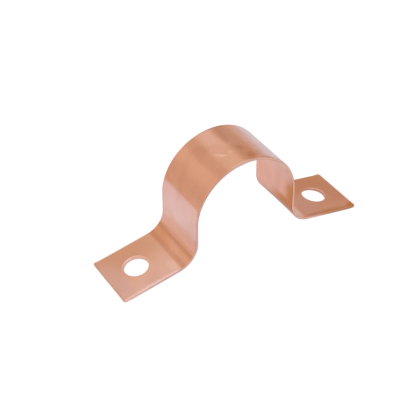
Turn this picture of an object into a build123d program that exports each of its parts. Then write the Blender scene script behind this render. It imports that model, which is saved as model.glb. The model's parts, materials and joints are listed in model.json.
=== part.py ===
"""Saddle clip for a pipe: one strip of copper sheet folded over the pipe, with a screw hole in each foot."""

import os
from math import cos, radians, sin

from build123d import *

# Driving dimensions, in millimetres and degrees
pipe_diameter = 22.0  # outside of the pipe that the clip holds
pipe_clearance = 0.05  # radial gap between the pipe and the saddle
sheet_thickness = 0.6
strip_width = 13.0
leg_length = 4.0  # straight wall below the half-round saddle
fold_radius = 4.8  # inside of the fold from leg to foot
foot_droop = 10.5  # angle that each foot falls, so that its end meets the wall first
hole_diameter = 5.0
hole_to_fold = 6.1  # screw hole's centre to the start of the fold
hole_to_end = 6.4  # screw hole's centre to the cropped end of the foot
corner_radius = 0.4  # corners of the cropped ends, seen from above
edge_round = 0.1  # sheared edges all round the strip
hole_lip = 0.15  # rounding that the punch leaves on a hole's upper rim

# Faces that meet at more than this are a real edge, not a smooth seam
SHARP_ANGLE = 30.0

# Sizes and places that follow from them
saddle_radius = pipe_diameter / 2 + pipe_clearance
foot_length = hole_to_fold + hole_to_end
droop = radians(foot_droop)
fold_fall = (fold_radius + sheet_thickness) * cos(droop)
foot_fall = foot_length * sin(droop)
end_lift = edge_round * (sin(droop) + cos(droop) - 1)  # a rounded end stands on its arc
saddle_height = leg_length + fold_fall + foot_fall - end_lift  # saddle's axis above the wall
punch_length = 4 * sheet_thickness  # through the sheet with room to spare on both sides


def face_line(depth):
    """Half of one face of the folded strip, from the crown to the end of the foot, in the plane of the folds.

    depth is measured from the inner face, the one that lies on the pipe and on the wall.
    """
    saddle = JernArc((0, saddle_height + saddle_radius + depth), (1, 0), saddle_radius + depth, -90)
    leg = PolarLine(saddle @ 1, leg_length, -90)
    fold = JernArc(leg @ 1, (0, -1), fold_radius + sheet_thickness - depth, 90 - foot_droop)
    foot = PolarLine(fold @ 1, foot_length, -foot_droop)
    return [saddle, leg, fold, foot]


def folded_strip():
    """The strip with its saddle, legs, folds and feet, before its holes and edges are worked."""
    inner = face_line(0)
    outer = face_line(sheet_thickness)
    crown = Line(inner[0] @ 0, outer[0] @ 0)
    end = Line(inner[-1] @ 1, outer[-1] @ 1)
    half_section = make_face([*inner, end, *outer, crown])
    half_strip = extrude(Plane.XZ * half_section, strip_width / 2, both=True)
    return half_strip + mirror(half_strip, Plane.YZ)


def crop_corners(strip):
    """Rounds the corners of both cropped ends, seen from above."""
    ends = strip.faces().sort_by(Axis.X)
    corners = [edge for end in (ends[0], ends[-1]) for edge in end.edges().sort_by(SortBy.LENGTH)[:2]]
    return fillet(corners, corner_radius)


def sharp_edges(shape):
    """The edges where two faces meet at an angle, without the smooth seams between them."""
    found = []
    for edge in shape.edges():
        first, second = [face for face in shape.faces() if edge in face.edges()]
        middle = edge @ 0.5
        if first.normal_at(middle).get_angle(second.normal_at(middle)) > SHARP_ANGLE:
            found.append(edge)
    return found


def hole_plane(side):
    """The plane of a screw hole on the upper face of a foot; side is 1 on +X and -1 on -X."""
    fold, foot = face_line(sheet_thickness)[2:]
    centre = (fold @ 1) + (foot % 0) * hole_to_fold
    return Plane((side * centre.X, 0, centre.Y), x_dir=(0, 1, 0), z_dir=(side * sin(droop), 0, cos(droop)))


def punch_hole(strip, side):
    """Punches one screw hole square to its foot and rounds the rim on the punch's side."""
    place = hole_plane(side)
    punched = strip - place * Cylinder(hole_diameter / 2, punch_length)
    rim = punched.edges().filter_by(GeomType.CIRCLE).sort_by_distance(place.origin)[0]
    return fillet(rim, hole_lip)


def saddle_clip():
    """The finished clip, standing on the ends of its feet at z = 0, with the pipe along Y."""
    strip = crop_corners(folded_strip())
    strip = fillet(sharp_edges(strip), edge_round)
    for side in (-1, 1):
        strip = punch_hole(strip, side)
    return strip


os.makedirs("parts", exist_ok=True)
export_step(saddle_clip(), "parts/saddle_strap.step")
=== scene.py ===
"""Saddle clip for a pipe: one strip of rolled copper, folded over the pipe and punched for two screws."""

from __future__ import annotations

import json
import logging
from dataclasses import dataclass, field
from enum import Enum, IntEnum
from math import atan2, cos, pi, radians, sin
from typing import Any

import bmesh
import bpy
import numpy as np
from mathutils import Matrix, Vector, noise


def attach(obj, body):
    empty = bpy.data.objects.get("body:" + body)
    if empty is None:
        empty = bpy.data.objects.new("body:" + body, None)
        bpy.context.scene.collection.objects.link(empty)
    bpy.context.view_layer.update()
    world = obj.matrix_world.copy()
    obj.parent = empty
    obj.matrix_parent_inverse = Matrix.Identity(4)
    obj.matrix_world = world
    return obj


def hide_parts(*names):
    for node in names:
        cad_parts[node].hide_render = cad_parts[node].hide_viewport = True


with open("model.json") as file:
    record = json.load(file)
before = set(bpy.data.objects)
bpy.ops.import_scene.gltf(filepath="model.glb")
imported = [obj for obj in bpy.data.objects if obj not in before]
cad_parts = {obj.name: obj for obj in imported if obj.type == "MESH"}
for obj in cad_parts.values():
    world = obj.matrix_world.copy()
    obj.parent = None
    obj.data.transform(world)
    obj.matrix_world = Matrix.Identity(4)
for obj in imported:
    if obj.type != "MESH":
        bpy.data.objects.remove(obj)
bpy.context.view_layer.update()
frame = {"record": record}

LOG = logging.getLogger("pipe_clip")
MM = 0.001  # one millimetre in Blender's metres
BODY = "root"
NODE = "saddle_strap"
FLAT = "flat_mm"  # attribute: place on the strip before it was folded, along, across and through it
SHEARED = "sheared"  # attribute: 1 on the sheared walls, 0 on the rolled faces
RIM_SHEEN = "rubbed"  # attribute: the share of painted highlight on the rolled-in rims
GRAIN_MAP = "Grain"
BAKE_MAP = "OFBake"
MAP_MARGIN = 0.005  # left free at both ends of the flat map
SAME_PLACE = 5  # decimals of a millimetre within which two corners are one
INNER_FACE = 0.6  # depth of the face that lies on the pipe, in millimetres
MIX_FIRST, MIX_SECOND, MIX_RESULT = 6, 7, 2  # the mix node's sockets for colours
NOISE_MEAN = (0.5, 0.5, 0.5)
NO_CUT_OR_SHEEN = (0.0, 0.0)

Colour = tuple[float, float, float]
Place = tuple[float, float, float]  # along, across and through the flat strip, in millimetres
Spot = tuple[float, float]  # along and across the flat strip, in millimetres
CutAndSheen = tuple[float, float]  # shares of cut metal and of painted highlight
Socket = bpy.types.NodeSocket
Feed = Any  # a value, or the socket that gives it


class Side(IntEnum):
    """The clip's two halves, by the sign of their x."""

    LEFT = -1
    RIGHT = 1


class Zone(Enum):
    """The kinds of surface on the strip, each with its lowest and highest row on the flat map."""

    OUTER = (0.01, 0.42)
    INNER = (0.44, 0.85)
    EDGE = (0.87, 0.92)
    HOLE_LEFT = (0.935, 0.96)
    HOLE_RIGHT = (0.97, 0.995)

    def row(self, share: float) -> float:
        """The map's row at this share of the way over the surface."""
        low, high = self.value
        return low + (high - low) * share


@dataclass(frozen=True)
class Span:
    """A stretch of values, and what its two ends are mapped to."""

    low: float
    high: float
    out_low: float = 0.0
    out_high: float = 1.0

    @classmethod
    def rise(cls, place: float, feather: float) -> Span:
        """A soft edge from 0 to 1, which reaches this far to each side of its place."""
        return cls(place - feather, place + feather)

    @classmethod
    def fall(cls, place: float, feather: float) -> Span:
        """A soft edge from 1 to 0, with the same reach."""
        return cls(place - feather, place + feather, 1.0, 0.0)


def opaque(colour: Colour) -> tuple[float, float, float, float]:
    """The colour with a full alpha."""
    return (*colour, 1.0)


def clamped(value: float) -> float:
    """The value held between 0 and 1."""
    return min(1.0, max(0.0, value))


class NodeBoard:
    """A node tree with short calls to add nodes and join them."""

    def __init__(self, tree: bpy.types.NodeTree) -> None:
        """Clears the tree."""
        self.tree = tree
        tree.nodes.clear()

    def add(self, kind: str, inputs: dict[Any, Feed] | None = None, **settings: Any) -> bpy.types.Node:
        """Adds one node.

        Args:
            kind: the node's type name.
            inputs: what each input takes, by its name or number.
            settings: the node's own properties.

        Returns:
            The new node.
        """
        node = self.tree.nodes.new(kind)
        for name, value in settings.items():
            setattr(node, name, value)
        for name, value in (inputs or {}).items():
            if isinstance(value, Socket):
                self.tree.links.new(value, node.inputs[name])
            else:
                node.inputs[name].default_value = value
        return node

    def blend(self, share: Feed, low: Feed, high: Feed) -> Socket:
        """Mixes two colours.

        Args:
            share: how much of the second colour.
            low: the first colour, or the socket that gives it.
            high: the second colour, or the socket that gives it.

        Returns:
            The mixed colour's socket.
        """
        first, second = (tone if isinstance(tone, Socket) else opaque(tone) for tone in (low, high))
        inputs = {"Factor": share, MIX_FIRST: first, MIX_SECOND: second}
        return self.add("ShaderNodeMix", inputs, data_type="RGBA").outputs[MIX_RESULT]

    def sum(self, first: Feed, second: Feed, operation: str = "ADD") -> Socket:
        """Works out one sum of two numbers or sockets and returns its socket."""
        return self.add("ShaderNodeMath", {0: first, 1: second}, operation=operation).outputs[0]

    def unsigned(self, value: Feed) -> Socket:
        """The value without its sign."""
        return self.add("ShaderNodeMath", {0: value}, operation="ABSOLUTE").outputs[0]

    def vector(self, operation: str, *values: Feed) -> Socket:
        """Works out one sum of vectors and returns its socket."""
        node = self.add("ShaderNodeVectorMath", dict(enumerate(values)), operation=operation)
        return node.outputs["Value" if operation == "LENGTH" else "Vector"]

    def turned(self, vector: Feed, angle: float) -> Socket:
        """Turns a vector about its third axis, by degrees, and returns its socket."""
        inputs = {"Vector": vector, "Angle": radians(angle)}
        return self.add("ShaderNodeVectorRotate", inputs, rotation_type="Z_AXIS").outputs[0]

    def split(self, vector: Feed) -> tuple[Socket, ...]:
        """The vector's three parts."""
        return tuple(self.add("ShaderNodeSeparateXYZ", {"Vector": vector}).outputs)

    def ramp(self, value: Feed, span: Span) -> Socket:
        """Maps a value smoothly over a span and returns the socket of the result."""
        inputs = {0: value, 1: span.low, 2: span.high, 3: span.out_low, 4: span.out_high}
        return self.add("ShaderNodeMapRange", inputs, interpolation_type="SMOOTHSTEP").outputs[0]


@dataclass(frozen=True)
class Pattern:
    """A noise on the flat strip: features per millimetre along, across and through it, and finer layers."""

    scale: Place
    layers: float
    turn: float = 0.0  # degrees from the strip's own line

    def on(self, board: NodeBoard, place: Socket) -> Socket:
        """Adds the noise.

        Args:
            board: the material's node tree.
            place: the place on the flat strip, in millimetres.

        Returns:
            The noise's value, from 0 to 1.
        """
        inputs = {"Vector": board.turned(place, self.turn), "Scale": self.scale}
        moved = board.add("ShaderNodeMapping", inputs).outputs[0]
        inputs = {"Vector": moved, "Scale": 1.0, "Detail": self.layers}
        return board.add("ShaderNodeTexNoise", inputs).outputs["Fac"]


@dataclass(frozen=True)
class Stain:
    """A soft-edged mark on the copper, a stain or a patch of painted shade or highlight: its middle on the
    flat strip, its reach, its tone and its strength.
    """

    along: float
    across: float
    reach_along: float
    reach_across: float
    tone: Colour
    strength: float
    softness: float = 0.7  # share of the reach over which the mark fades
    turn: float = 0.0  # degrees from the strip's own line
    depth: float = 0.0
    reach_through: float = 0.45  # so that a mark stays on its own side of the sheet

    def share(self, board: NodeBoard, place: Socket) -> Socket:
        """Finds how much of the stain lies at each place.

        Args:
            board: the material's node tree.
            place: the place on the flat strip, in millimetres.

        Returns:
            The stain's share, from 0 to its strength.
        """
        moved = board.vector("SUBTRACT", place, (self.along, self.across, self.depth))
        reach = (1 / self.reach_along, 1 / self.reach_across, 1 / self.reach_through)
        scaled = board.vector("MULTIPLY", board.turned(moved, -self.turn), reach)
        away = board.vector("LENGTH", scaled)
        return board.ramp(away, Span(1 - self.softness, 1.0, self.strength, 0.0))


@dataclass(frozen=True)
class RolledCopper:
    """Bright copper strip as the mill rolls it: grain along it, tarnish, handling marks, dull walls, and
    painted shade and highlights on its folds, its inner face and its rims.
    """

    bright: Colour = (0.775, 0.465, 0.385)
    tarnished: Colour = (0.715, 0.405, 0.315)
    inside: Colour = (0.710, 0.378, 0.287)  # the face that lies on the pipe, which little light reaches
    # the same painted shade, tarnished in blotches
    shaded_inside_tarnish: Colour = (0.640, 0.330, 0.242)
    crease_shade: Colour = (0.735, 0.375, 0.255)  # painted shade on the outside of the folds
    fold_highlight: Colour = (0.810, 0.495, 0.410)  # painted highlight: a paler line across the fold
    fold_shade: Colour = (0.680, 0.395, 0.295)  # and the dark line beside it
    slit_metal: Colour = (0.890, 0.545, 0.450)  # the strip's long edges
    cropped_metal: Colour = (0.630, 0.390, 0.325)  # its ends and the walls of its holes
    # painted highlight on the rolled-in rims
    painted_rim_highlight: Colour = (0.900, 0.600, 0.510)
    crease_start: Span = Span.rise(21.75, 0.9)  # length from the crown, in millimetres
    fold_highlight_start: Span = Span.rise(24.6, 0.4)
    fold_highlight_end: Span = Span.rise(25.2, 0.2)
    fold_shade_end: Span = Span.fall(25.9, 0.3)
    slit_start: Span = Span.rise(6.3, 0.1)  # distance from the strip's middle line, in millimetres
    outer_half: Span = Span.fall(0.3, 0.1)  # depth to which the sheet counts as its outer face
    grain: Pattern = Pattern((0.10, 8.0, 8.0), 4.0)
    streaks: Pattern = Pattern((0.05, 1.1, 1.1), 3.0)
    hairlines: Pattern = Pattern((0.06, 5.0, 3.0), 1.0, 4.0)
    blotches: Pattern = Pattern((0.17, 0.24, 0.2), 3.0)
    ragged: Pattern = Pattern((0.40, 0.36, 0.4), 3.0)
    streak_tarnish: Span = Span(0.4, 0.7, 0.0, 0.15)
    blotch_tarnish: Span = Span(0.42, 0.72, 0.0, 0.8)
    ragged_crease: Span = Span(0.3, 0.7, -0.8, 0.8)  # how far the crease's start wanders, in millimetres
    hairline_depth: Span = Span(0.68, 0.74, 0.0, 0.2)  # against the grain's own depth
    roughness: Span = Span(0.25, 0.75, 0.15, 0.19)  # over the streaks
    cut_roughness: Span = Span(0.0, 1.0, 0.0, 0.26)  # what a cut wall adds
    across_grain: float = 0.35  # how much the gloss spreads across the grain
    grain_depth: float = 0.0003 * MM
    jog: Place = (1.2, 1.2, 0.0)  # how far the outlines of the stains wander, in millimetres
    jog_scale: float = 0.8
    jog_layers: float = 2.0
    stains: tuple[Stain, ...] = (
        # Crown
        Stain(0.8, -4.6, 2.4, 3.2, (0.730, 0.400, 0.270), 0.5),
        Stain(2.6, -3.4, 1.1, 2.4, (0.735, 0.375, 0.250), 0.6),
        Stain(1.3, -1.9, 0.9, 1.2, (0.660, 0.320, 0.235), 0.75),
        Stain(1.9, -5.0, 1.4, 1.5, (0.650, 0.305, 0.210), 0.85),
        Stain(3.9, -4.6, 1.4, 2.4, (0.650, 0.385, 0.280), 0.75),
        Stain(3.3, 4.6, 1.7, 3.4, (0.810, 0.540, 0.500), 0.65),
        Stain(-2.3, 4.0, 1.8, 3.4, (0.795, 0.500, 0.435), 0.6),
        Stain(0.0, 3.6, 1.3, 4.6, (0.620, 0.355, 0.265), 0.8),
        Stain(5.0, -6.4, 2.2, 1.1, (0.660, 0.360, 0.270), 0.8),
        # A V-shaped scratch, painted as two pale strokes: painted highlight where the scratch catches the
        # light.
        Stain(-3.1, -1.85, 0.42, 2.1, (0.890, 0.600, 0.530), 0.7, turn=38.0),
        Stain(-1.3, -2.2, 0.38, 1.5, (0.840, 0.550, 0.485), 0.6, turn=-14.0),
        # Left shoulder, leg and fold
        Stain(-14.0, 5.2, 1.5, 2.8, (0.740, 0.395, 0.280), 0.8),
        Stain(-16.2, 5.5, 2.4, 3.0, (0.755, 0.425, 0.365), 0.7),
        Stain(-23.2, 6.0, 2.2, 1.6, (0.740, 0.400, 0.335), 0.7),
        Stain(-22.6, -6.5, 2.2, 0.9, (0.660, 0.335, 0.255), 0.75),
        Stain(-28.4, -5.2, 0.9, 3.2, (0.830, 0.530, 0.430), 0.6),
        Stain(-26.8, 5.5, 2.4, 7.0, (0.710, 0.370, 0.245), 0.8),
        # Left foot
        Stain(-35.0, 5.5, 10.0, 8.5, (0.665, 0.370, 0.285), 0.85),
        Stain(-40.2, -0.5, 3.4, 8.0, (0.690, 0.430, 0.410), 0.7),
        Stain(-41.6, 0.0, 0.75, 9.0, (0.720, 0.500, 0.460), 0.8),
        Stain(-29.4, -4.6, 1.3, 3.0, (0.850, 0.560, 0.460), 0.6),
        # Painted highlight: a pale strip along the left foot's front edge.
        Stain(-35.5, -6.2, 6.8, 0.45, (0.900, 0.620, 0.560), 0.7),
        # Right foot
        Stain(35.0, 4.8, 9.5, 5.5, (0.700, 0.355, 0.230), 0.75),
        Stain(30.6, -3.0, 4.2, 5.4, (0.740, 0.475, 0.460), 0.8),
        Stain(39.5, 0.0, 2.8, 5.0, (0.690, 0.360, 0.260), 0.6),
        Stain(35.5, -6.6, 8.0, 1.5, (0.640, 0.310, 0.170), 0.85),
        Stain(30.2, -6.5, 2.6, 1.2, (0.610, 0.350, 0.260), 0.8),
        Stain(41.0, -6.1, 2.2, 1.5, (0.620, 0.270, 0.100), 0.85),
        # Face on the pipe, and the insides of both folds: the dark orange marks are painted shade, low in the
        # folds and along the front edge
        Stain(12.0, -6.6, 4.5, 0.75, (0.800, 0.500, 0.420), 0.7, depth=INNER_FACE),
        Stain(20.2, -7.0, 6.4, 4.3, (0.520, 0.190, 0.060), 1.0, depth=INNER_FACE),
        Stain(23.3, -5.5, 2.2, 7.5, (0.540, 0.170, 0.045), 1.0, turn=8.0, depth=INNER_FACE),
        Stain(25.2, -2.5, 2.5, 10.0, (0.470, 0.220, 0.110), 0.9, 0.5, depth=INNER_FACE),
        Stain(-25.2, 0.0, 2.6, 12.0, (0.520, 0.270, 0.170), 0.8, 0.5, depth=INNER_FACE),
        # Right fold
        Stain(27.6, -4.5, 2.2, 4.5, (0.790, 0.430, 0.350), 0.7),
    )
    name: str = "rolled_copper"

    def colour(self, board: NodeBoard, place: Socket, streak: Socket) -> Socket:
        """Mixes the copper's colour from its tarnish, the painted shade and highlights on its folds and its
        inner face, and its stains, some of them painted shade and highlights.

        Args:
            board: the material's node tree.
            place: the place on the flat strip, in millimetres.
            streak: the noise of the streaks along the strip.

        Returns:
            The colour's socket.
        """
        along, _, depth = board.split(place)
        run = board.unsigned(along)
        outside = board.ramp(depth, self.outer_half)
        blotch = self.blotches.on(board, place)
        tarnish = board.sum(board.ramp(blotch, self.blotch_tarnish), board.ramp(streak, self.streak_tarnish))
        mixed = board.blend(tarnish, self.bright, self.tarnished)
        wandering = board.sum(run, board.ramp(self.ragged.on(board, place), self.ragged_crease))
        begun = board.ramp(wandering, self.crease_start)
        folds = board.sum(begun, board.ramp(run, self.fold_shade_end), "MULTIPLY")
        # The outside of each fold: painted shade, crossed by a paler painted highlight line and a dark
        # painted shade line.
        crease = board.blend(board.ramp(run, self.fold_highlight_start), self.crease_shade, self.fold_highlight)
        crease = board.blend(board.ramp(run, self.fold_highlight_end), crease, self.fold_shade)
        mixed = board.blend(board.sum(folds, outside, "MULTIPLY"), mixed, crease)
        inner = board.blend(tarnish, self.inside, self.shaded_inside_tarnish)
        mixed = board.blend(outside, inner, mixed)
        inputs = {"Vector": place, "Scale": self.jog_scale, "Detail": self.jog_layers}
        shaken = board.add("ShaderNodeTexNoise", inputs).outputs["Color"]
        jogged = board.vector("MULTIPLY_ADD", board.vector("SUBTRACT", shaken, NOISE_MEAN), self.jog, place)
        for stain in self.stains:
            mixed = board.blend(stain.share(board, jogged), mixed, stain.tone)
        return mixed

    def wall_colour(self, board: NodeBoard, place: Socket) -> Socket:
        """Mixes the colour of the sheared walls over the flat strip and returns its socket."""
        slit = board.ramp(board.unsigned(board.split(place)[1]), self.slit_start)
        return board.blend(slit, self.cropped_metal, self.slit_metal)

    def material(self) -> bpy.types.Material:
        """Builds the copper's node material.

        Returns:
            The material.
        """
        made = bpy.data.materials.new(self.name)
        made.use_nodes = True
        board = NodeBoard(made.node_tree)
        place = board.add("ShaderNodeAttribute", attribute_name=FLAT).outputs["Vector"]
        cut = board.add("ShaderNodeAttribute", attribute_name=SHEARED).outputs["Fac"]
        rubbed = board.add("ShaderNodeAttribute", attribute_name=RIM_SHEEN).outputs["Fac"]
        streak = self.streaks.on(board, place)
        # Painted highlight: the rolled-in rims of the left foot's sides and of the holes are paler.
        colour = board.blend(rubbed, self.colour(board, place, streak), self.painted_rim_highlight)
        hairline = board.ramp(self.hairlines.on(board, place), self.hairline_depth)
        lines = board.sum(self.grain.on(board, place), hairline, "SUBTRACT")
        relief = board.add("ShaderNodeBump", {"Height": lines, "Strength": 1.0, "Distance": self.grain_depth})
        tangent = board.add("ShaderNodeTangent", direction_type="UV_MAP", uv_map=GRAIN_MAP)
        shader = board.add("ShaderNodeBsdfPrincipled", {
            "Base Color": board.blend(cut, colour, self.wall_colour(board, place)),
            "Metallic": 1.0,
            "Roughness": board.sum(board.ramp(cut, self.cut_roughness), board.ramp(streak, self.roughness)),
            "Anisotropic": self.across_grain,
            "Normal": relief.outputs[0],
            "Tangent": tangent.outputs[0],
        })
        board.add("ShaderNodeOutputMaterial", {"Surface": shader.outputs[0]})
        return made


@dataclass(frozen=True)
class FoldedLine:
    """The line of the strip's outer face from the crown to the end of a foot, in millimetres and radians."""

    saddle_radius: float
    foot_droop: float
    axis_height: float
    leg_length: float = 4.0  # the record doesn't hold this size and those below
    fold_radius: float = 4.8
    hole_to_fold: float = 6.1
    hole_to_end: float = 6.4

    @property
    def leg_start(self) -> float:
        """Length from the crown to the top of the leg."""
        return self.saddle_radius * pi / 2

    @property
    def fold_start(self) -> float:
        """Length from the crown to the fold."""
        return self.leg_start + self.leg_length

    @property
    def fold_turn(self) -> float:
        """Angle that the fold turns through."""
        return pi / 2 - self.foot_droop

    @property
    def foot_start(self) -> float:
        """Length from the crown to the flat of the foot."""
        return self.fold_start + self.fold_radius * self.fold_turn

    @property
    def hole_middle(self) -> float:
        """Length from the crown to the middle of the screw hole."""
        return self.foot_start + self.hole_to_fold

    @property
    def half_length(self) -> float:
        """Length from the crown to the end of the foot."""
        return self.hole_middle + self.hole_to_end

    def at(self, along: np.ndarray) -> tuple[np.ndarray, np.ndarray]:
        """Finds places on the outer face.

        Args:
            along: lengths along the strip from the crown, negative on the left.

        Returns:
            The points and the outward normals, each as rows of x and z.
        """
        side = np.where(along < 0, -1.0, 1.0)
        run = np.abs(along)
        arc = run / self.saddle_radius
        turn = (run - self.fold_start) / self.fold_radius
        beyond = run - self.foot_start
        foot_x = self.saddle_radius + self.fold_radius * (1 - cos(self.fold_turn))
        foot_z = self.axis_height - self.leg_length - self.fold_radius * sin(self.fold_turn)
        zones = [run <= self.leg_start, run <= self.fold_start, run <= self.foot_start]
        x = np.select(zones, [
            self.saddle_radius * np.sin(arc),
            np.full_like(run, self.saddle_radius),
            self.saddle_radius + self.fold_radius * (1 - np.cos(turn)),
        ], foot_x + beyond * cos(self.foot_droop))
        z = np.select(zones, [
            self.axis_height + self.saddle_radius * np.cos(arc),
            self.axis_height - (run - self.leg_start),
            self.axis_height - self.leg_length - self.fold_radius * np.sin(turn),
        ], foot_z - beyond * sin(self.foot_droop))
        normal_x = np.select(zones, [np.sin(arc), np.ones_like(run), np.cos(turn)], sin(self.foot_droop))
        normal_z = np.select(zones, [np.cos(arc), np.zeros_like(run), np.sin(turn)], cos(self.foot_droop))
        return np.stack([side * x, z], 1), np.stack([side * normal_x, normal_z], 1)


@dataclass(frozen=True)
class SoftForm:
    """How handling wavers the soft strip and bending bows it across its width, in millimetres."""

    waver: float = 0.02  # the most that handling draws the sheet in
    waver_clear: float = 1.5  # the ends of the feet stay true
    waver_fade: float = 5.0
    wide_scale: Spot = (0.11, 0.09)  # waves per millimetre, along and across
    wide_seed: float = 2.7
    wide_part: float = 0.35
    small_scale: Spot = (0.30, 0.22)
    small_seed: float = 9.1
    small_part: float = 0.15
    bow: float = 0.11  # the most that bending draws it in: the saddle hollows and the feet crown
    leg_clear: float = 6.0  # the hollow ends this far above the legs
    leg_fade: float = 8.0
    foot_fade: float = 4.0
    end_clear: float = 0.4
    end_fade: float = 1.2

    def drawn_in(self, line: FoldedLine, width: float, spot: Spot) -> float:
        """Finds how far the sheet lies under its true face.

        Args:
            line: the strip's line.
            width: the strip's width.
            spot: the place on the flat strip.

        Returns:
            The distance.
        """
        along, across = spot
        run = abs(along)
        to_end = line.half_length - run
        calm = clamped((to_end - self.waver_clear) / self.waver_fade)
        wide = Vector((along * self.wide_scale[0], across * self.wide_scale[1], self.wide_seed))
        small = Vector((along * self.small_scale[0], across * self.small_scale[1], self.small_seed))
        waves = self.wide_part * (1 + noise.noise(wide)) + self.small_part * (1 + noise.noise(small))
        square = (2 * across / width) ** 2
        hollow = clamped((line.leg_start - self.leg_clear - run) / self.leg_fade)
        crown = clamped((run - line.fold_start) / self.foot_fade)
        clear = clamped((to_end - self.end_clear) / self.end_fade)
        bowed = hollow * (1 - square) + crown * clear * square
        return calm * self.waver * waves + self.bow * bowed


@dataclass(frozen=True)
class WallRow:
    """One row of points along a wall: how far inside the cut's line, how deep in the sheet, and its shares of
    cut metal and of painted highlight.
    """

    inside: float
    depth: float
    cut: float = 0.0  # 1 on cut metal
    rubbed: float = 0.0  # 1 on the rolled-in rim, which takes the painted highlight

    def cut_and_sheen(self, share: float) -> CutAndSheen:
        """The row's shares of cut metal and of painted highlight, at a place whose highlight reaches this
        share.
        """
        return (self.cut, self.rubbed * share)


@dataclass(frozen=True)
class ShearedWall:
    """The wall that a shear or a punch leaves: a rolled-in rim, a smooth band and a torn band."""

    upper_reach: float  # how far the rolled-in rim reaches from the wall
    upper_round: float  # how deep it goes
    lower_round: float
    smooth_share: float = 0.42  # of the sheet's thickness
    torn_share: float = 0.75
    torn_step: float = 0.012
    support: float = 0.05  # a narrow strip of flat face beside each rim
    steps: int = 4
    wander: float = 0.006  # how far the wall wanders inside its line
    wander_scale: Place = (0.9, 0.9, 2.0)  # waves per millimetre, along, across and through

    def profile(self, thickness: float) -> list[WallRow]:
        """Lists the wall's rows from the outer face to the inner one.

        Args:
            thickness: the sheet's thickness.

        Returns:
            The rows.
        """
        angles = [pi / 2 * step / self.steps for step in range(self.steps + 1)]
        reach, deep, low = self.upper_reach, self.upper_round, self.lower_round
        step = self.torn_step
        smooth_end = thickness * self.smooth_share
        torn_end = thickness * self.torn_share
        upper = [WallRow(reach * (1 - sin(a)), deep * (1 - cos(a)), rubbed=1.0) for a in angles]
        smooth = [WallRow(0.0, depth, cut=1.0) for depth in (deep + step, smooth_end)]
        torn = [WallRow(step, depth, cut=1.0) for depth in (smooth_end + 2 * step, torn_end)]
        lower = [WallRow(low * (1 - cos(a)), thickness - low * (1 - sin(a))) for a in angles]
        first = WallRow(reach + self.support, 0.0)
        last = WallRow(low + self.support, thickness)
        return [first, *upper, *smooth, *torn, *lower, last]

    def inset(self, row: WallRow, thickness: float, spot: Spot) -> float:
        """Finds how far inside the cut's line a row lies; only rows between the two faces wander.

        Args:
            row: the row.
            thickness: the sheet's thickness.
            spot: the place on the flat strip.

        Returns:
            The distance.
        """
        if not 0.0 < row.depth < thickness:
            return row.inside
        waves = Vector((*spot, row.depth)) * Vector(self.wander_scale)
        return row.inside + self.wander * (1 + noise.noise(waves))


@dataclass
class SheetMesh:
    """Collects the faces of the flat strip, then folds them up."""

    line: FoldedLine
    width: float
    form: SoftForm
    corners: list[Place] = field(default_factory=list)
    cuts_and_sheens: list[CutAndSheen] = field(default_factory=list)
    faces: list[list[int]] = field(default_factory=list)
    map_places: list[tuple[float, float]] = field(default_factory=list)
    known: dict[Place, int] = field(default_factory=dict)

    def corner(self, place: Place, cut_and_sheen: CutAndSheen) -> int:
        """Finds the corner at a flat place, and makes it where the place is new.

        Args:
            place: along, across and through the strip.
            cut_and_sheen: the least shares of cut metal and of painted highlight that the corner gets.

        Returns:
            The corner's number.
        """
        key = tuple(round(part, SAME_PLACE) for part in place)
        if key not in self.known:
            self.known[key] = len(self.corners)
            self.corners.append(place)
            self.cuts_and_sheens.append(NO_CUT_OR_SHEEN)
        number = self.known[key]
        self.cuts_and_sheens[number] = tuple(map(max, self.cuts_and_sheens[number], cut_and_sheen))
        return number

    def face(self, places: list[Place], zone: Zone, cuts_and_sheens: list[CutAndSheen] | None = None,
             shares: list[tuple[float, float]] | None = None) -> None:
        """Adds one face.

        Args:
            places: the face's corners on the flat strip, along, across and through it.
            zone: the kind of surface, which says where the face lies on the flat map.
            cuts_and_sheens: each corner's share of cut metal and of painted highlight; none where left out.
            shares: each corner's place on its zone of the map; worked out from places where left out.
        """
        cuts_and_sheens = cuts_and_sheens or [NO_CUT_OR_SHEEN] * len(places)
        self.faces.append([self.corner(place, cut_and_sheen) for place, cut_and_sheen in zip(places, cuts_and_sheens)])
        if shares is None:
            half = self.line.half_length
            shares = [(0.5 + p[0] / half / 2, 0.5 + p[1] / self.width) for p in places]
        spread = 1 - 2 * MAP_MARGIN
        self.map_places += [(MAP_MARGIN + spread * column, zone.row(row)) for column, row in shares]

    def build(self, name: str) -> bpy.types.Mesh:
        """Folds the strip and makes its mesh.

        Args:
            name: the mesh's name.

        Returns:
            The mesh, in metres, with smooth faces, its maps and its attributes.
        """
        flat = np.array(self.corners)
        points, normals = self.line.at(flat[:, 0])
        drawn = np.array([self.form.drawn_in(self.line, self.width, place[:2]) for place in self.corners])
        folded = points - (flat[:, 2] + drawn)[:, None] * normals
        places = np.stack([folded[:, 0], flat[:, 1], folded[:, 1]], 1) * MM
        mesh = bpy.data.meshes.new(name)
        mesh.from_pydata(places.tolist(), [], self.faces)
        mesh.shade_smooth()
        mesh.attributes.new(FLAT, "FLOAT_VECTOR", "POINT").data.foreach_set("vector", flat.ravel())
        for label, values in zip((SHEARED, RIM_SHEEN), zip(*self.cuts_and_sheens)):
            mesh.attributes.new(label, "FLOAT", "POINT").data.foreach_set("value", values)
        loops = np.concatenate([np.array(face) for face in self.faces])
        grain = np.stack([flat[loops, 1], flat[loops, 0]], 1) / self.line.half_length
        for label, values in ((GRAIN_MAP, grain), (BAKE_MAP, np.array(self.map_places))):
            mesh.uv_layers.new(name=label).uv.foreach_set("vector", values.astype(np.float32).ravel())
        work = bmesh.new()
        work.from_mesh(mesh)
        bmesh.ops.recalc_face_normals(work, faces=work.faces)
        work.to_mesh(mesh)
        work.free()
        return mesh


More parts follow.
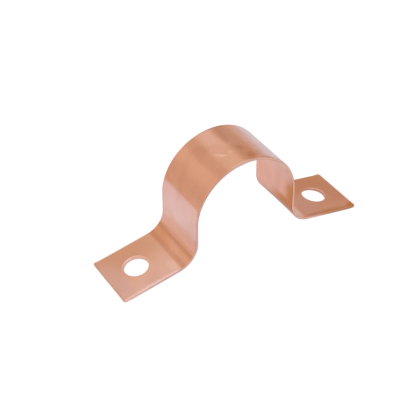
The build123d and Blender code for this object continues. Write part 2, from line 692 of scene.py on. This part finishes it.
@dataclass(frozen=True)
class RimPoint:
    """A place on the strip's rim, and the direction that points away from the strip there."""

    along: float
    across: float
    out_along: float
    out_across: float

    def inside(self, inset: float) -> Spot:
        """The place this far inside the rim."""
        return (self.along - inset * self.out_along, self.across - inset * self.out_across)


@dataclass
class SaddleStrap:
    """The whole clip: a strip with a saddle for the pipe, two legs and two feet with a screw hole each."""

    line: FoldedLine
    width: float
    thickness: float
    hole_radius: float
    corner_radius: float = 0.4
    sheared: ShearedWall = ShearedWall(0.3, 0.1, 0.1)
    punched: ShearedWall = ShearedWall(0.35, 0.15, 0.03)
    form: SoftForm = SoftForm()
    sheen_mean: float = 0.45  # how much painted highlight the sides of the left foot take
    sheen_swing: float = 0.5
    sheen_scale: float = 0.25
    sheen_seed: float = 5.3
    sheen_way: Spot = (0.6, 0.8)  # the side of a hole's rim that takes the painted highlight
    left_sheen: float = 1.0
    right_sheen: float = 0.1
    cell: float = 0.33  # size of the mesh's faces on the flat
    corner_steps: int = 5
    rings: int = 16  # rings of faces round a hole
    ring_crowding: float = 1.3  # above 1, the rings crowd towards the hole
    name: str = "copper_saddle_strap"

    @classmethod
    def from_record(cls, record: dict[str, Any]) -> SaddleStrap:
        """Takes the sizes that the record gives.

        Args:
            record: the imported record.

        Returns:
            The strap with its sizes.
        """
        mounts = {mount["name"]: mount for mount in record["mounts"]}
        saddle = mounts["pipe_saddle"]
        hole = mounts["screw_hole_right"]
        thickness = hole["dims"]["length_mm"]
        line = FoldedLine(
            saddle_radius=saddle["dims"]["r_mm"] + thickness,
            foot_droop=atan2(hole["axis"][0], hole["axis"][2]),
            axis_height=saddle["pos_m"][2] / MM,
        )
        return cls(line, saddle["dims"]["length_mm"], thickness, hole["dims"]["r_mm"])

    def spaced(self, low: float, high: float) -> list[float]:
        """Even steps of about one cell from low to high, both included."""
        count = max(1, round(abs(high - low) / self.cell))
        return np.linspace(low, high, count + 1).tolist()

    def foot_rim(self, side: Side) -> list[RimPoint]:
        """Follows the rim of one foot from the fold, round the end and back.

        Args:
            side: which foot.

        Returns:
            The rim's points.
        """
        half = self.width / 2
        end = self.line.half_length
        bend = self.corner_radius
        rim = [(along, -half, 0.0, -1.0) for along in self.spaced(self.line.foot_start, end - bend)]
        turns = [pi / 2 * step / self.corner_steps for step in range(1, self.corner_steps)]
        rim += [(end - bend + bend * sin(a), bend - half - bend * cos(a), sin(a), -cos(a)) for a in turns]
        rim += [(end, across, 1.0, 0.0) for across in self.spaced(bend - half, half - bend)]
        rim += [(end - bend + bend * cos(a), half - bend + bend * sin(a), cos(a), sin(a)) for a in turns]
        rim += [(along, half, 0.0, 1.0) for along in self.spaced(end - bend, self.line.foot_start)]
        return [RimPoint(side * along, across, side * out, aside) for along, across, out, aside in rim]

    def foot_outline(self, side: Side, inset: float) -> list[Spot]:
        """Follows one foot inside its rim, and closes the line along the fold.

        Args:
            side: which foot.
            inset: how far inside the rim.

        Returns:
            The places.
        """
        half = self.width / 2 - inset
        outline = [point.inside(inset) for point in self.foot_rim(side)]
        return outline + [(side * self.line.foot_start, across) for across in self.spaced(half, -half)[1:-1]]

    def strip_rim(self) -> list[RimPoint]:
        """Follows the rim of the whole strip, anticlockwise from the left end of the front edge.

        Returns:
            The rim's points.
        """
        half = self.width / 2
        middle = self.spaced(-self.line.foot_start, self.line.foot_start)[1:-1]
        front = [RimPoint(along, -half, 0.0, -1.0) for along in middle]
        back = [RimPoint(along, half, 0.0, 1.0) for along in reversed(middle)]
        return front + self.foot_rim(Side.RIGHT) + back + self.foot_rim(Side.LEFT)[::-1]

    def from_hole(self, side: Side, spot: Spot, clear: float, depth: float, share: float = 0.0) -> Place:
        """Finds a place on the way from the circle round a hole straight out to a spot.

        Args:
            side: which foot.
            spot: where the way ends.
            clear: the circle's radius.
            depth: the place's depth under the outer face.
            share: how much of the way lies behind the place.

        Returns:
            The place.
        """
        middle = side * self.line.hole_middle
        start = clear / np.hypot(spot[0] - middle, spot[1])
        scale = start + (1 - start) * share
        return (middle + (spot[0] - middle) * scale, spot[1] * scale, depth)

    def rim_sheen_share(self, point: RimPoint) -> float:
        """Finds how much painted highlight the rim takes: only the left foot's sides, in patches.

        Args:
            point: the point on the rim.

        Returns:
            The share of painted highlight.
        """
        if point.along >= -self.line.foot_start:
            return 0.0
        waves = noise.noise(Vector((point.along * self.sheen_scale, point.across, self.sheen_seed)))
        return abs(point.out_across) * (self.sheen_mean + self.sheen_swing * waves)

    def hole_sheen(self, side: Side, spot: Spot) -> float:
        """Finds how much painted highlight a hole's rim takes.

        Args:
            side: which foot.
            spot: the place on the rim.

        Returns:
            The share of painted highlight.
        """
        most = self.right_sheen if side is Side.RIGHT else self.left_sheen
        away = spot[0] - side * self.line.hole_middle
        toward = away * self.sheen_way[0] + spot[1] * self.sheen_way[1]
        return most * max(0.0, (1 + toward / self.hole_radius) / 2)

    def fill_middle(self, mesh: SheetMesh, zone: Zone, edge: WallRow) -> None:
        """Lays the faces of one side of the strip between its feet.

        Args:
            mesh: the mesh that takes the faces.
            zone: which side of the sheet.
            edge: the row of the strip's wall that this side meets.
        """
        half = self.width / 2 - edge.inside
        columns = self.spaced(-self.line.foot_start, self.line.foot_start)
        rows = self.spaced(-half, half)
        for left, right in zip(columns, columns[1:]):
            for front, back in zip(rows, rows[1:]):
                spots = ((left, front), (right, front), (right, back), (left, back))
                mesh.face([(*spot, edge.depth) for spot in spots], zone)

    def fill_foot(self, mesh: SheetMesh, zone: Zone, side: Side, edge: WallRow, hole: WallRow) -> None:
        """Lays the faces of one side of a foot in rings round its hole.

        Args:
            mesh: the mesh that takes the faces.
            zone: which side of the sheet.
            side: which foot.
            edge: the row of the strip's wall that this side meets.
            hole: the row of the hole's wall that it meets.
        """
        outline = self.foot_outline(side, edge.inside)
        clear = self.hole_radius + hole.inside
        loops = []
        for ring in range(self.rings + 1):
            share = (ring / self.rings) ** self.ring_crowding
            loops.append([self.from_hole(side, spot, clear, edge.depth, share) for spot in outline])
        for inner, outer in zip(loops, loops[1:]):
            for this in range(len(outline)):
                after = (this + 1) % len(outline)
                mesh.face([inner[this], outer[this], outer[after], inner[after]], zone)

    def shear_rim(self, mesh: SheetMesh) -> None:
        """Lays the sheared wall all round the strip.

        Args:
            mesh: the mesh that takes the faces.
        """
        rim = self.strip_rim()
        profile = self.sheared.profile(self.thickness)
        loops = []
        for row in profile:
            loop = []
            for point in rim:
                inset = self.sheared.inset(row, self.thickness, (point.along, point.across))
                loop.append((*point.inside(inset), row.depth))
            loops.append(loop)
        self.join_loops(mesh, loops, Zone.EDGE, profile, [self.rim_sheen_share(point) for point in rim])

    def punch_wall(self, mesh: SheetMesh, side: Side) -> None:
        """Lays the wall of one screw hole.

        Args:
            mesh: the mesh that takes the faces.
            side: which foot.
        """
        edge = self.sheared.profile(self.thickness)
        profile = self.punched.profile(self.thickness)
        loops = []
        for row in profile:
            inset = edge[0].inside + (edge[-1].inside - edge[0].inside) * row.depth / self.thickness
            loop = []
            for spot in self.foot_outline(side, inset):
                radius = self.hole_radius + self.punched.inset(row, self.thickness, spot)
                loop.append(self.from_hole(side, spot, radius, row.depth))
            loops.append(loop)
        zone = Zone.HOLE_RIGHT if side is Side.RIGHT else Zone.HOLE_LEFT
        self.join_loops(mesh, loops, zone, profile, [self.hole_sheen(side, place[:2]) for place in loops[-1]])

    def join_loops(self, mesh: SheetMesh, loops: list[list[Place]], zone: Zone, profile: list[WallRow],
                   rubbed: list[float]) -> None:
        """Joins closed loops of a wall with faces.

        Args:
            mesh: the mesh that takes the faces.
            loops: the wall's loops from the outer face to the inner one; a loop with more places than the
                first joins only as many as the first has.
            zone: which wall this is.
            profile: the wall's row at each loop.
            rubbed: the share of painted highlight at each place of a loop.
        """
        count = len(loops[0])
        last = len(profile) - 1
        for step in range(last):
            for this in range(count):
                ends = ((step, this), (step, this + 1), (step + 1, this + 1), (step + 1, this))
                places = [loops[row][column % count] for row, column in ends]
                cuts_and_sheens = [profile[row].cut_and_sheen(rubbed[column % count]) for row, column in ends]
                mesh.face(places, zone, cuts_and_sheens, [(column / count, row / last) for row, column in ends])

    def build(self, finish: RolledCopper) -> bpy.types.Object:
        """Builds the strap and dresses it.

        Args:
            finish: the metal that it is made of.

        Returns:
            The strap's object, which rides on the clip's body in place of its node.
        """
        mesh = SheetMesh(self.line, self.width, self.form)
        walls = (self.sheared.profile(self.thickness), self.punched.profile(self.thickness))
        for zone, number in ((Zone.OUTER, 0), (Zone.INNER, -1)):
            edge, hole = (rows[number] for rows in walls)
            self.fill_middle(mesh, zone, edge)
            for side in Side:
                self.fill_foot(mesh, zone, side, edge, hole)
        self.shear_rim(mesh)
        for side in Side:
            self.punch_wall(mesh, side)
        strap = bpy.data.objects.new(self.name, mesh.build(self.name))
        strap.data.materials.append(finish.material())
        bpy.context.scene.collection.objects.link(strap)
        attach(strap, BODY)
        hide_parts(NODE)
        strap.visible_glossy = False  # the studio's tones stand in for what the copper would mirror of itself
        return strap


@dataclass(frozen=True)
class SoftPanel:
    """A long soft panel in the room: where its two sides stand, in degrees from straight up, and its tone."""

    start: float
    end: float
    feather_start: float
    feather_end: float
    tone: Colour
    back_end: Span | None = None  # how it ends towards the back, over the direction's share along +Y

    def share(self, board: NodeBoard, lean: Socket, back: Socket) -> Socket:
        """Finds how much of the panel lies in each direction.

        Args:
            board: the world's node tree.
            lean: the direction's lean from straight up, in radians.
            back: the direction's share along +Y.

        Returns:
            The panel's share, from 0 to 1.
        """
        rise = board.ramp(lean, Span.rise(radians(self.start), radians(self.feather_start)))
        fall = board.ramp(lean, Span.fall(radians(self.end), radians(self.feather_end)))
        share = board.sum(rise, fall, "MULTIPLY")
        if self.back_end:
            share = board.sum(board.ramp(back, self.back_end), share, "MULTIPLY")
        return share


@dataclass(frozen=True)
class StudioRoom:
    """The studio's soft light: warm walls with paler and darker panels, a ceiling and a pale backdrop."""

    walls: Colour = (0.80, 0.62, 0.46)
    backdrop: Colour = (1.0, 1.0, 1.0)
    panels: tuple[SoftPanel, ...] = (
        SoftPanel(-62.0, -31.0, 16.0, 5.0, (0.91, 0.74, 0.55)),
        SoftPanel(-6.0, 34.0, 4.0, 6.0, (0.905, 0.765, 0.575)),
        SoftPanel(40.0, 72.0, 5.0, 6.0, (0.70, 0.54, 0.40)),
        SoftPanel(76.0, 130.0, 6.0, 5.0, (0.79, 0.71, 0.70)),
        # Ceiling
        SoftPanel(-4.0, 36.0, 5.0, 6.0, (0.95, 0.985, 1.05), Span(0.52, 0.70, 1.0, 0.0)),
        SoftPanel(36.0, 58.0, 6.0, 8.0, (0.80, 0.72, 0.62), Span(0.12, 0.35, 1.0, 0.0)),
    )
    name: str = "studio_room"

    def build(self) -> bpy.types.World:
        """Builds the room's light as the scene's world.

        Returns:
            The world.
        """
        world = bpy.data.worlds.new(self.name)
        world.use_nodes = True
        board = NodeBoard(world.node_tree)
        x, y, z = board.split(board.add("ShaderNodeTexCoord").outputs["Generated"])
        lean = board.sum(x, z, "ARCTAN2")
        colour: Feed = self.walls
        for panel in self.panels:
            colour = board.blend(panel.share(board, lean, y), colour, panel.tone)
        seen = board.add("ShaderNodeLightPath").outputs["Is Camera Ray"]
        light = board.add("ShaderNodeBackground", {"Color": board.blend(seen, colour, self.backdrop)})
        board.add("ShaderNodeOutputWorld", {"Surface": light.outputs[0]})
        bpy.context.scene.world = world
        return world


@dataclass(frozen=True)
class FloorPatch:
    """A soft-edged patch of painted light and shade on the floor, which the copper mirrors but the camera
    doesn't see, in millimetres from the clip's middle.
    """

    left: float
    right: float
    front: float
    back: float
    feather: float
    tone: Colour

    def share(self, board: NodeBoard, x: Socket, y: Socket) -> Socket:
        """Finds how much of the patch lies at each place.

        Args:
            board: the floor's node tree.
            x: the place from left to right, in metres.
            y: the place from front to back, in metres.

        Returns:
            The patch's share, from 0 to 1.
        """
        shares = []
        for place, low, high in ((x, self.left, self.right), (y, self.front, self.back)):
            rise = board.ramp(place, Span.rise(low * MM, self.feather * MM))
            fall = board.ramp(place, Span.fall(high * MM, self.feather * MM))
            shares.append(board.sum(rise, fall, "MULTIPLY"))
        return board.sum(shares[0], shares[1], "MULTIPLY")


@dataclass(frozen=True)
class StudioFloor:
    """The pale floor: a white sheet that the copper mirrors, with the glow and shade that lie on it."""

    half_size: float = 2.0
    paper: Colour = (0.20, 0.20, 0.20)
    dullness: float = 0.9
    lit: Colour = (0.78, 0.81, 0.89)  # what the copper mirrors
    glow: Colour = (0.72, 0.50, 0.45)  # the clip's own light, thrown on the paper
    # painted shade: the floor further to the right is darker
    far_right: Colour = (0.64, 0.70, 0.81)
    beyond: Colour = (0.66, 0.50, 0.36)  # where the white sheet has ended
    seen: Colour = (0.92, 0.94, 0.96)
    sheet_end: Span = Span.fall(-53.5 * MM, 1.5 * MM)
    glow_begins: Span = Span(5.0 * MM, 15.0 * MM)
    glow_fades: Span = Span(24.0 * MM, 30.0 * MM)
    patches: tuple[FloorPatch, ...] = (
        FloorPatch(20.0, 40.0, 12.0, 40.0, 8.0, (0.52, 0.51, 0.60)),
        FloorPatch(-27.0, -20.5, -4.0, 4.0, 1.0, (1.00, 1.02, 1.06)),
        FloorPatch(-2.0, 6.0, -9.0, 30.0, 3.0, (0.86, 0.85, 0.88)),
        FloorPatch(12.0, 60.0, -9.0, 18.0, 3.0, (0.65, 0.56, 0.52)),
        FloorPatch(13.5, 17.0, 0.5, 9.0, 1.5, (0.34, 0.24, 0.18)),
        FloorPatch(-32.0, 9.0, -21.0, -7.6, 1.0, (0.40, 0.42, 0.46)),
        FloorPatch(-14.0, 40.0, -70.0, -21.0, 3.0, (0.42, 0.35, 0.30)),
        FloorPatch(-14.0, -0.5, -23.5, -9.0, 2.0, (0.64, 0.70, 0.78)),
        FloorPatch(16.0, 28.0, -36.0, -14.0, 2.0, (0.60, 0.68, 0.72)),
        FloorPatch(9.0, 20.0, -21.0, -7.0, 2.0, (0.60, 0.63, 0.70)),
        FloorPatch(9.0, 20.0, -22.0, -14.0, 2.0, (0.82, 0.82, 0.86)),
        FloorPatch(20.5, 45.0, -13.0, -5.0, 1.5, (0.33, 0.25, 0.17)),
        FloorPatch(25.2, 45.0, -13.0, -5.0, 1.0, (0.36, 0.24, 0.11)),
    )
    name: str = "studio_floor"

    def finish(self) -> bpy.types.Material:
        """Builds the paper's node material.

        Returns:
            The material.
        """
        made = bpy.data.materials.new("pale_paper")
        made.use_nodes = True
        board = NodeBoard(made.node_tree)
        x, y, _ = board.split(board.add("ShaderNodeNewGeometry").outputs["Position"])
        mirrored = board.blend(board.ramp(x, self.glow_begins), self.lit, self.glow)
        mirrored = board.blend(board.ramp(x, self.glow_fades), mirrored, self.far_right)
        for patch in self.patches:
            mirrored = board.blend(patch.share(board, x, y), mirrored, patch.tone)
        mirrored = board.blend(board.ramp(x, self.sheet_end), mirrored, self.beyond)
        seen = board.add("ShaderNodeLightPath").outputs["Is Camera Ray"]
        shader = board.add("ShaderNodeBsdfPrincipled", {
            "Base Color": opaque(self.paper),
            "Roughness": self.dullness,
            "Specular IOR Level": 0.0,
            "Emission Color": board.blend(seen, mirrored, self.seen),
            "Emission Strength": 1.0,
        })
        board.add("ShaderNodeOutputMaterial", {"Surface": shader.outputs[0]})
        return made

    def build(self) -> bpy.types.Object:
        """Builds the floor.

        Returns:
            The floor's object.
        """
        half = self.half_size
        corners = [(-half, -half, 0), (half, -half, 0), (half, half, 0), (-half, half, 0)]
        mesh = bpy.data.meshes.new(self.name)
        mesh.from_pydata(corners, [], [(0, 1, 2, 3)])
        mesh.materials.append(self.finish())
        floor = bpy.data.objects.new(self.name, mesh)
        bpy.context.scene.collection.objects.link(floor)
        return floor


@dataclass(frozen=True)
class PhotoCamera:
    """The camera where the photographer stood, from the outline of the clip in the picture."""

    azimuth: float = -31.93
    elevation: float = 38.963
    roll: float = -0.128
    distance: float = 227.0 * MM
    aim_height: float = 11.571 * MM
    focal_pixels: float = 1137.2
    picture: float = 420.0
    aim_pixel: tuple[float, float] = (228.49, 191.10)  # where the saddle's middle shows
    sensor: float = 36.0
    nearest: float = 1.0 * MM
    farthest: float = 20.0
    name: str = "photo_camera"

    def build(self) -> bpy.types.Object:
        """Builds the camera and makes it the scene's.

        Returns:
            The camera's object.
        """
        turn, rise, tilt = radians(self.azimuth), radians(self.elevation), radians(self.roll)
        back = Vector((sin(turn) * cos(rise), -cos(turn) * cos(rise), sin(rise)))
        level = Vector((cos(turn), sin(turn), 0.0))
        upright = back.cross(level)
        right = level * cos(tilt) + upright * sin(tilt)
        up = upright * cos(tilt) - level * sin(tilt)
        scale = self.distance / self.focal_pixels
        offset_x = (self.aim_pixel[0] - self.picture / 2) * scale
        offset_y = (self.picture / 2 - self.aim_pixel[1]) * scale
        place = Vector((0, 0, self.aim_height)) + back * self.distance - right * offset_x - up * offset_y
        data = bpy.data.cameras.new(self.name)
        data.sensor_width = self.sensor
        data.lens = self.focal_pixels / self.picture * self.sensor
        data.clip_start = self.nearest
        data.clip_end = self.farthest
        camera = bpy.data.objects.new(self.name, data)
        axes = Matrix((right, up, back)).transposed()
        camera.matrix_world = Matrix.Translation(place) @ axes.to_4x4()
        bpy.context.scene.collection.objects.link(camera)
        bpy.context.scene.camera = camera
        return camera


def main() -> None:
    """Builds the studio and the clip, and reports each piece."""
    logging.basicConfig(level=logging.INFO, format="%(name)s: %(message)s")
    bpy.context.scene.view_settings.view_transform = "Standard"
    camera = PhotoCamera().build()
    LOG.info("camera %s, lens %.1f mm", camera.name, camera.data.lens)
    LOG.info("light %s", StudioRoom().build().name)
    LOG.info("floor %s", StudioFloor().build().name)
    strap = SaddleStrap.from_record(frame["record"]).build(RolledCopper())
    LOG.info("piece %s, %d faces", strap.name, len(strap.data.polygons))


if __name__ == "__main__":
    main()
